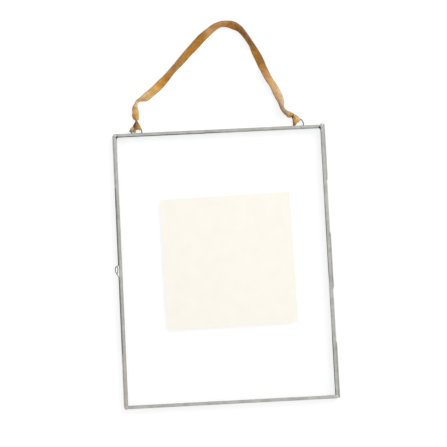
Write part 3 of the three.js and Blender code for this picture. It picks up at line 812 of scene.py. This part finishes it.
# Bands of the right knot: what knot_band takes, and their painted nap, light and shade
RIGHT_BANDS = [
    (RIGHT_KNOT + Vector((-1.5, 1.1, 0.3)), RIGHT_WAY, (2.75, 1.8), 2.2, 0.9, 0.1, 4.3, 0.8),
    (RIGHT_KNOT + Vector((0.5, -0.1, 0.4)), RIGHT_WAY, (2.8, 2.1), 2.2, 0.9, -0.3, 2.1, 0.6),
    # In painted shade: the band in the crease
    (RIGHT_CREASE - Vector((0.5, -0.2, 0)), RIGHT_KNOT - RIGHT_CREASE, (2.3, 1.5), 1.3, 0.7, 0.1,
     5.5, -0.1),
]

ends = [
    sling(
        "left", (0.75, 0.15, -0.35), 0.1, loop_x=LEFT_LOOP_X, knot=LEFT_KNOT, crease=LEFT_CREASE,
        turn=0.1, spread=1.2, gather=0.85, hang=Vector((0, -3.4, 0)), pleats=3.2, seed=0.6,
    ),
    ribbon_lumps("ribbon_knot_left", [
        (blob(LEFT_KNOT, (0.9, 1.3, 0.9), 4.1, 0.3), 0.2),
        (knot_band(LEFT_KNOT, LEFT_KNOT - LEFT_CREASE, (0.75, 0.8), 1.3, 0.5, 0.3, 0.6), 0.35),
    ], 0.2),
    ribbon_lumps("ribbon_tail_left", [
        (thick_sheet(tail_grid(*strip), TAIL_THICKNESS), 0.5) for strip in LEFT_STRIPS
    ], material=frayed),
    # Painted shade: a dark lump of ribbon where the tail leaves the left sling
    ribbon_lumps("ribbon_fold_shade_left", [
        (blob(Vector((-87.5, 144.2, 2.4)), (1.1, 1.9, 0.9), 3.4, 0.3), -0.4),
    ], 0.2),
    sling(
        "right", (1.35, 0.75, 0.1), 0.08, loop_x=RIGHT_LOOP_X, knot=RIGHT_KNOT,
        crease=RIGHT_CREASE, turn=radians(36), spread=0.98, gather=2.5,
        hang=Vector((2.1, -2.8, 0)), pleats=2.6, seed=2.1,
    ),
    ribbon_lumps("ribbon_knot_right", [
        (blob(RIGHT_KNOT + Vector((0, 0.3, 0.3)), (2.9, 2.7, 2.0), 6.4, 0.15), 0.3),
        *((knot_band(*shape), light) for *shape, light in RIGHT_BANDS),
    ], 0.1),
]


# Rails

BEND_STEPS = 6
END_STEPS = 6
RING_STEP = 2.4  # from one section of a rail to the next, about
STRAIGHT_END = 0.4  # of a rail, before its mitre starts
BORDER_STEP = 0.02  # to each side of where the cut for the hinge starts or ends
UNEVEN = 0.05  # how far a rail's inner side wanders
FRONT_RELIEF = (57.4, 6.6)  # angles of the front rail's cut round the hinge axis, in degrees
BACK_RELIEF = (-7.2, -54.3)  # and of the back rail's
INNER_CORNERS = (8, 26)  # corners of the section that face the middle of the frame
LATCH_CORNER = 30  # first corner of the upper bend's outer part

# Painted shade on the rails' inner faces and, with the wire's painted reflection, on the bend that
# the latch wire lies along, by the place along the rail in millimetres
INNER_SHADE = {
    "right": [(-140, 1), (-78, 1), (-70, 0), (-20, 0), (-12, 0.8), (58, 0.8), (66, 0.4), (140, 0.4)],
    "top": [(-108, 0.9), (-20, 0.7), (20, 0.2), (108, 0.1)],
    "left": [(-140, 0.4), (140, 0.4)],
    "bottom": [(-108, 0.1), (108, 0.1)],
}
LATCH_SHADE = [(-84, 0), (-83, 1), (-6, 1), (-4.5, 0.1), (1.5, 0.1), (2.5, 1), (83, 1), (84, 0)]

# How strong the warm stain on the left rail is, by the place along it in millimetres
LEFT_STAIN = [(-140, 0.36), (-115, 0.36), (-95, 0.24), (-70, 0.03), (80, 0.02), (95, 0)]


def arc(centre, radius, start, end, steps=BEND_STEPS):
    """Points on a circle, from one angle in degrees to another."""
    angles = [radians(degrees) for degrees in evenly(start, end, steps)]
    return [(centre[0] + radius * cos(a), centre[1] + radius * sin(a)) for a in angles]


def rail_outline(relief):
    """Outline of a folded rail's section: (inward, height) points.

    relief is "under" or "over" where the hinge takes the place of the lower or upper bend.
    """
    bend, lip, fold = 0.62, 0.22, 0.12  # radii of the outer bends, the edges and the inner bends
    top = RAIL_DEPTH - SHEET
    lower_bend = arc((bend, bend), bend, 180, 270)
    upper_bend = arc((bend, RAIL_DEPTH - bend), bend, 90, 180)
    if relief == "under":
        clearance = HINGE_TUBE_RADIUS + HINGE_RUNNING_GAP
        lower_bend = arc((-HINGE_OUT, -DOOR_GAP / 2), clearance, *FRONT_RELIEF)
    if relief == "over":
        clearance = HINGE_TUBE_RADIUS + HINGE_SEAT_GAP
        upper_bend = arc((-HINGE_OUT, HINGE_Z), clearance, *BACK_RELIEF)
    return [
        *lower_bend,
        *arc((RAIL_FACE - lip, lip), lip, 270, 360, 3),
        *arc((RAIL_FACE - lip, SHEET - lip), lip, 0, 90, 3),
        *arc((SHEET + fold, SHEET + fold), fold, 270, 180, 2),
        *arc((SHEET + fold, top - fold), fold, 180, 90, 2),
        *arc((RAIL_FACE - lip, top + lip), lip, 270, 360, 3),
        *arc((RAIL_FACE - lip, RAIL_DEPTH - lip), lip, 0, 90, 3),
        *upper_bend,
    ]


SIDES = {
    "bottom": lambda along, inward: (along, inward - HALF_HEIGHT),
    "right": lambda along, inward: (HALF_WIDTH - inward, along),
    "top": lambda along, inward: (-along, HALF_HEIGHT - inward),
    "left": lambda along, inward: (inward - HALF_WIDTH, -along),
}


def rail_surface(side, base, relief):
    """A rail with rounded bends, mitred ends and the small unevenness of hand-folded sheet."""
    half = HALF_WIDTH if side in ("top", "bottom") else HALF_HEIGHT
    plain, cut = rail_outline(None), rail_outline(relief)
    last = half - RAIL_FACE - STRAIGHT_END

    def outline(along):
        stretch = min(max(int(2.5 - along / HINGE_PITCH), 0), 4)
        return cut if relief and stretch % 2 == 0 else plain

    stops = evenly(-last, last, int(2 * last / RING_STEP))
    if relief:
        borders = [HINGE_PITCH * k for k in (1.5, 0.5, -0.5, -1.5)]
        stops += [border + step for border in borders for step in (-BORDER_STEP, BORDER_STEP)]
    stops.sort()

    def ring(along, section):
        points = []
        for inward, height in section:
            uneven = UNEVEN * noise.noise(Vector((along * 0.06, base, inward * 0.4 + half)))
            x, y = SIDES[side](along, inward + uneven * (inward / RAIL_FACE))
            points.append(Vector((x, y, base + height)))
        return points

    def end_ring(sign, share):
        """A section between a rail's straight part and its mitre."""
        points = []
        for inward, height in outline(sign * last):
            if inward < CORNER_RADIUS:
                turn = radians(45) * share
                reach = CORNER_RADIUS - inward
                along = half - CORNER_RADIUS + reach * sin(turn)
                moved = CORNER_RADIUS - reach * cos(turn)
            else:
                along, moved = lerp(last, half - inward, max(share, 0.01)), inward
            x, y = SIDES[side](sign * (along - MITRE_GAP / 2 * share), moved)
            points.append(Vector((x, y, base + height)))
        return points

    shares = evenly(0, 1, END_STEPS)
    rings = [end_ring(-1, share) for share in reversed(shares)]
    rings += [ring(along, outline(along)) for along in stops]
    rings += [end_ring(1, share) for share in shares]
    return skin(rings)


def tarnish_level(side, label, corner, point):
    """How much painted shade a rail has at a point of its section, from 0 to 1."""
    place = point.y if side in ("left", "right") else point.x
    patchy = 0.85 + 0.3 * noise.noise(Vector((place * 0.12, corner * 0.05, 4)))
    if INNER_CORNERS[0] <= corner <= INNER_CORNERS[1]:
        return patchy * between(INNER_SHADE[side], place)[0]
    if side == "left" and label == "front" and corner >= LATCH_CORNER:
        return patchy * between(LATCH_SHADE, place)[0]
    return 0.0


SECTION_CORNERS = len(rail_outline(None))

for body, base, label, relief in (
    ("back_frame", 0.0, "back", "over"), ("front_frame", FRONT_BASE, "front", "under"),
):
    for side in SIDES:
        surface = rail_surface(side, base, relief if side == "right" else None)
        rail = add_piece(
            f"{label}_channel_{side}", surface,
            metal_across if side in ("top", "bottom") else metal_upright,
            body, [f"{label}_rail_{side}"], 35,
        )
        # Painted shade on the inner faces and beside the latch wire
        paint(rail, tarnish=[
            tarnish_level(side, label, i % SECTION_CORNERS, point)
            for i, point in enumerate(surface[0])
        ])
        if side == "left":
            paint(rail, stain=[between(LEFT_STAIN, point.y)[0] for point in surface[0]])


# Wires and tubes

def wire_surface(points, radius, sides=16, steps=6):
    """A round wire with rounded ends through the points."""
    line = [Vector(p) for p in smooth_route([tuple(p) for p in points], steps)]
    rings = []
    across = None
    for i, point in enumerate(line):
        along = (line[min(i + 1, len(line) - 1)] - line[max(i - 1, 0)]).normalized()
        if across is None:
            across = along.cross(Z if abs(along.z) < 0.9 else X).normalized()
        across = (across - along * across.dot(along)).normalized()
        up = along.cross(across)
        size = 0.8 if i in (0, len(line) - 1) else 1.0
        rings.append([
            point + (across * cos(a) + up * sin(a)) * (radius * size)
            for a in round_angles(sides)
        ])
    return skin(rings)


TUBE_SIDES = 32
TUBE_ROWS = 24  # rows of points along a tube's outside
TUBE_SOFT = 0.12  # how far a tube's ends are rounded
SEAM_DEPTH = 0.035
SEAM_SIDE = 5


def tube_surface(x, y, z, outer, bore, length, seed):
    """A tube along Y rolled from sheet, with softened ends and a faint seam."""
    half = length / 2
    edge = half - TUBE_SOFT
    end = [(bore, edge), (bore + TUBE_SOFT / 2, half), (outer - TUBE_SOFT, half), (outer, edge)]
    outside = [(outer, height) for height in evenly(edge, -edge, TUBE_ROWS)[1:-1]]
    profile = [*end, *outside, *((radius, -height) for radius, height in reversed(end))]
    rings = []
    for k, angle in enumerate(round_angles(TUBE_SIDES)):
        seam = SEAM_DEPTH if k == SEAM_SIDE else 0.0
        ring = []
        for radius, height in profile:
            way = Vector((height * 0.25, cos(angle), seed + sin(angle)))
            uneven = 0.02 * noise.noise(way) if radius > bore + TUBE_SOFT else 0
            r = radius - seam + uneven
            ring.append(Vector((x + r * cos(angle), y + height, z + r * sin(angle))))
        rings.append(ring)
    return skin(rings, loop=True)


def hinge_middle(stretch):
    return HINGE_PITCH * (2 - stretch)


HINGE_X = HALF_WIDTH + HINGE_OUT
for stretch, label in ((0, "top"), (2, "middle"), (4, "bottom")):
    add_piece(
        f"rolled_hinge_tube_{label}",
        tube_surface(HINGE_X, hinge_middle(stretch), HINGE_Z, HINGE_TUBE_RADIUS, HINGE_BORE_RADIUS,
                     HINGE_PITCH - HINGE_JOINT_GAP, stretch),
        metal_upright, "back_frame", [f"hinge_tube_{label}"], 35,
    )

wire_half = (5 * HINGE_PITCH - HINGE_JOINT_GAP) / 2
add_piece(
    "drawn_hinge_wire",
    wire_surface([(HINGE_X, y, HINGE_Z) for y in evenly(-wire_half, wire_half, 10)],
                 HINGE_WIRE_RADIUS),
    wire_metal, "front_frame", ["hinge_wire"], 50,
)

for sign, label in ((1, "top"), (-1, "bottom")):
    add_piece(
        f"rolled_latch_tube_{label}",
        tube_surface(-HALF_WIDTH - LATCH_AXIS_OUT, sign * LATCH_TUBE_MIDDLE, LATCH_AXIS_Z,
                     LATCH_TUBE_RADIUS, LATCH_BORE_RADIUS, LATCH_TUBE_LENGTH, 7 + sign),
        bright_tube, "back_frame", [f"latch_tube_{label}"], 35,
    )


def latch_route():
    """The latch wire's points, from inside the upper tube to inside the lower one."""
    def point(out, y, z):
        return (-HALF_WIDTH - out, y, z)

    def axis(y):
        return point(LATCH_AXIS_OUT, y, LATCH_AXIS_Z)

    def run(y):
        return point(LATCH_RUN_OUT, y, LATCH_RUN_Z)

    def crank(y, share):
        out = lerp(LATCH_AXIS_OUT, LATCH_RUN_OUT, share)
        return point(out, y, lerp(LATCH_AXIS_Z, LATCH_RUN_Z, share))

    def eye(outward, along, rise):
        out = lerp(LATCH_RUN_OUT, EYE_OUT, outward)
        return point(out, EYE_Y + along * EYE_HALF, LATCH_RUN_Z + rise * EYE_RISE)

    end = LATCH_TUBE_END
    crank_end = end - LATCH_CRANK
    return [
        axis(end + LATCH_INSERTION), axis(end), axis(end - 0.1 * LATCH_CRANK),
        crank(end - 0.5 * LATCH_CRANK, 0.5), crank(crank_end, 0.96),
        run(crank_end - LATCH_CRANK), run(EYE_Y + 6 * EYE_HALF),
        *(eye(*place) for place in EYE_COIL),
        run(EYE_Y - 3 * EYE_HALF), run(EYE_Y - 6 * EYE_HALF), run(-crank_end + LATCH_CRANK),
        crank(-crank_end, 0.96), crank(-end + 0.5 * LATCH_CRANK, 0.5),
        axis(-end + 0.1 * LATCH_CRANK), axis(-end), axis(-end - LATCH_INSERTION),
    ]


add_piece(
    "bent_latch_wire", wire_surface(latch_route(), LATCH_WIRE_RADIUS, 14, 8),
    wire_metal, "latch", ["latch_wire"], 50,
)


def loop_route(loop_x):
    """A loop's points from one foot to the other."""
    feet = [
        (loop_x - LOOP_HALF_WIDTH, HALF_HEIGHT + SOLDER_GAP, LOOP_Z),
        (loop_x - LOOP_HALF_WIDTH, HALF_HEIGHT + LOOP_LEG / 2, LOOP_Z),
    ]
    arch = [tuple(loop_point(loop_x, angle)) for angle in evenly(pi / 2, -pi / 2, 8)]
    return [*feet, *arch, *((2 * loop_x - x, y, z) for x, y, z in reversed(feet))]


for sign, loop_x, label in ((-1, LEFT_LOOP_X, "left"), (1, RIGHT_LOOP_X, "right")):
    feet = []
    for foot in (-1, 1):
        place = Vector((loop_x + foot * LOOP_HALF_WIDTH, HALF_HEIGHT + 0.25, LOOP_Z))
        feet.append(blob(place, (1.25, 0.75, 1.1), 3.3 * sign + foot, 0.25))
    add_piece(
        f"bent_loop_{label}", wire_surface(loop_route(loop_x), LOOP_WIRE_RADIUS, 18, 6),
        loop_metal, "back_frame", [f"hanging_loop_{label}"], 50,
    )
    add_piece(f"loop_solder_{label}", joined(*feet), solder, "back_frame")


# Solder at the hinge, the keeper and the corners, and painted shade in two corners

CLEAT_STEPS = 60


def cleat_surface(stretch):
    """A run of solder between the front rail and the hinge wire."""
    near = HALF_WIDTH + 0.02
    low = HINGE_Z + HINGE_WIRE_RADIUS + SOLDER_GAP
    length = HINGE_PITCH - HINGE_JOINT_GAP
    rings = []
    for t in evenly(-1, 1, CLEAT_STEPS):
        y = hinge_middle(stretch) + t * length / 2
        fade = min(1.0, 8 * (1 - abs(t)) + 0.35)
        swell = fade * (1 + 0.16 * noise.noise(Vector((y * 0.35, stretch, 0))))
        reach, height, lip = CLEAT_REACH * min(swell, 1.05), CLEAT_HEIGHT * swell, CLEAT_LIP
        rings.append([Vector((near + x, y, low + z)) for x, z in [
            (0, 0), (reach * 0.6, 0), (reach, 0.0), (reach + 0.04, lip * 0.6), (reach, lip),
            (reach * 0.72, lip + 0.24 * height), (reach * 0.42, lip + 0.42 * height),
            (reach * 0.18, lip + 0.66 * height), (0, height),
        ]])
    return skin(rings)


for stretch, label in ((1, "upper"), (3, "lower")):
    add_piece(
        f"cleat_solder_{label}", cleat_surface(stretch), solder, "front_frame",
        [f"hinge_cleat_{label}"], 50,
    )

stud_start, stud_end = HALF_WIDTH + SOLDER_GAP, HALF_WIDTH + KEEPER_REACH
stud = [(-out, KEEPER_Y, KEEPER_Z) for out in evenly(stud_start, stud_end, 4)]
add_piece(
    "keeper_stud",
    joined(
        wire_surface(stud, KEEPER_RADIUS, 20, 2),
        blob(Vector((-HALF_WIDTH, KEEPER_Y, KEEPER_Z)), (0.3, 0.8, 0.75), 5.2),
    ),
    wire_metal, "front_frame", ["latch_keeper"], 50,
)


FACE_Z = FRONT_BASE + RAIL_DEPTH
BEAD_STEPS = 16
BEAD_SIDES = 14


def corner_bead(sign_x, sign_y, seed):
    """A thin uneven bead of solder over a mitre on the front."""
    def on_mitre(inset):
        return Vector((sign_x * (HALF_WIDTH - inset), sign_y * (HALF_HEIGHT - inset), 0))

    outer, inner = on_mitre(0.7), on_mitre(RAIL_FACE - 0.15)
    along = (inner - outer).normalized()
    side = Vector((-along.y, along.x, 0))
    top_z = FACE_Z - 0.02
    rings = []
    for t in evenly(0, 1, BEAD_STEPS):
        middle = outer.lerp(inner, t)
        size = sin(pi * lerp(0.06, 0.94, t)) ** 0.6
        wander = 0.22 * noise.noise(Vector((t * 3.1, seed, 0)))
        width = 0.62 * size * (1 + 0.5 * noise.noise(Vector((t * 4, seed, 5))))
        height = 0.16 * size * (1 + 0.5 * noise.noise(Vector((t * 5, seed, 9))))
        ring = []
        for a in round_angles(BEAD_SIDES):
            rise = Z * (top_z + height * max(sin(a), -0.2))
            ring.append(middle + side * (wander + width * cos(a)) + rise)
        rings.append(ring)
    return skin(rings)


for side, sign_x in (("left", -1), ("right", 1)):
    for end, sign_y in (("bottom", -1), ("top", 1)):
        seed = 1.7 * (sign_x > 0) + 3.1 * (sign_y > 0) + 0.5
        add_piece(
            f"corner_solder_{end}_{side}", corner_bead(sign_x, sign_y, seed),
            solder, "front_frame",
        )

for name, place, radii, seed, rough, material, body in [
    ("hinge_end_solder", (HINGE_X, HALF_HEIGHT + 0.1, HINGE_Z), (1.1, 1.2, 1.1), 9.1, 0.2,
     solder, "back_frame"),
    ("corner_cap", (106.5, HALF_HEIGHT - 0.1, FACE_Z - 1.6), (2.0, 1.3, 1.5), 7.7, 0.12,
     metal_upright, "front_frame"),
    ("corner_foot", (-106.8, -HALF_HEIGHT + 1.3, FACE_Z - 1.7), (1.8, 1.9, 1.5), 2.9, 0.12,
     metal_upright, "front_frame"),
    ("corner_lump", (-105.6, HALF_HEIGHT - 2.4, FACE_Z - 0.1), (0.8, 0.7, 0.35), 5.7, 0.3,
     solder, "front_frame"),
]:
    lump = blob(Vector(place), radii, seed, rough)
    add_piece(name, lump, material, body)

# Painted shade: near-black lumps with a drip below each in the two top inner corners, for the shade in
# the mitres' notches
notch_shades = []
for sign_x, place_x, place_y, seed in ((1, 104.1, 137.2, 3.3), (-1, -104.4, 136.6, 8.2)):
    notch_shades.append(blob(Vector((place_x, place_y, FACE_Z - 0.1)), (1.25, 0.9, 0.25), seed, 0.35))
    drip = Vector((place_x + sign_x * 0.2, place_y - 1.1, FACE_Z - 0.3))
    notch_shades.append(blob(drip, (0.55, 1.1, 0.35), seed + 1, 0.35))
add_piece("corner_notch_shade", joined(*notch_shades), notch_shade, "front_frame")

# Lumps on the hinge tubes, low enough for the front rail to turn past them
hinge_blobs = [
    blob(Vector((HINGE_X + 0.33, y, HINGE_Z + 0.1)), radii, seed, 0.15)
    for y, radii, seed in (
        (HINGE_PITCH * 1.5 + 1.3, (0.8, 1.1, 0.8), 1.0),
        (HINGE_PITCH * 0.5 - 1.4, (0.75, 1.2, 0.75), 2.0),
        (-HINGE_PITCH * 1.5 - 1.3, (0.75, 1.0, 0.75), 3.0),
        (-104.6, (0.85, 1.9, 0.85), 4.0),
    )
]
add_piece("hinge_solder", joined(*hinge_blobs), solder, "back_frame")


# Floor, world and lamp

FLOOR_HALF = 4.0
FLOOR_Z = -0.00005
FLOOR_CORNERS = ((-1, -1), (1, -1), (1, 1), (-1, 1))
LAMP_PLACE = Vector((1.6, 1.5, 1.6))  # in metres

floor_mesh = bpy.data.meshes.new("floor")
floor_mesh.from_pydata(
    [(x * FLOOR_HALF, y * FLOOR_HALF, FLOOR_Z) for x, y in FLOOR_CORNERS], [], [(0, 1, 2, 3)],
)
floor_mesh.materials.append(floor_white())
floor = new_object("floor", floor_mesh)


def build_world():
    """White to the camera, and a soft sky that is brighter overhead for light and gloss."""
    sky = Shader(bpy.data.worlds.new("studio"), "Background")
    split = sky.add("SeparateXYZ")
    sky.join(sky.places["Generated"], split.inputs[0])
    levels = (0.0, 0.50), (0.35, 0.42), (0.8, 0.80), (1.0, 1.0)
    overhead = sky.grey_ramp(split.outputs["Z"], *levels)
    seen = sky.mix(sky.rays("Is Camera Ray"), overhead, (1.0, 1.0, 1.0))
    sky.fill(sky.surface, Color=seen, Strength=1.0)
    bpy.context.scene.world = sky.owner


build_world()

lamp_data = bpy.data.lights.new("softbox", "AREA")
lamp_data.shape = "DISK"
lamp_data.size = 1.6
lamp_data.energy = 40
lamp = new_object("softbox", lamp_data)
lamp.location = LAMP_PLACE
lamp.rotation_mode = "QUATERNION"
lamp.rotation_quaternion = (-LAMP_PLACE).to_track_quat("-Z", "Y")

bpy.context.scene.view_settings.view_transform = "Standard"
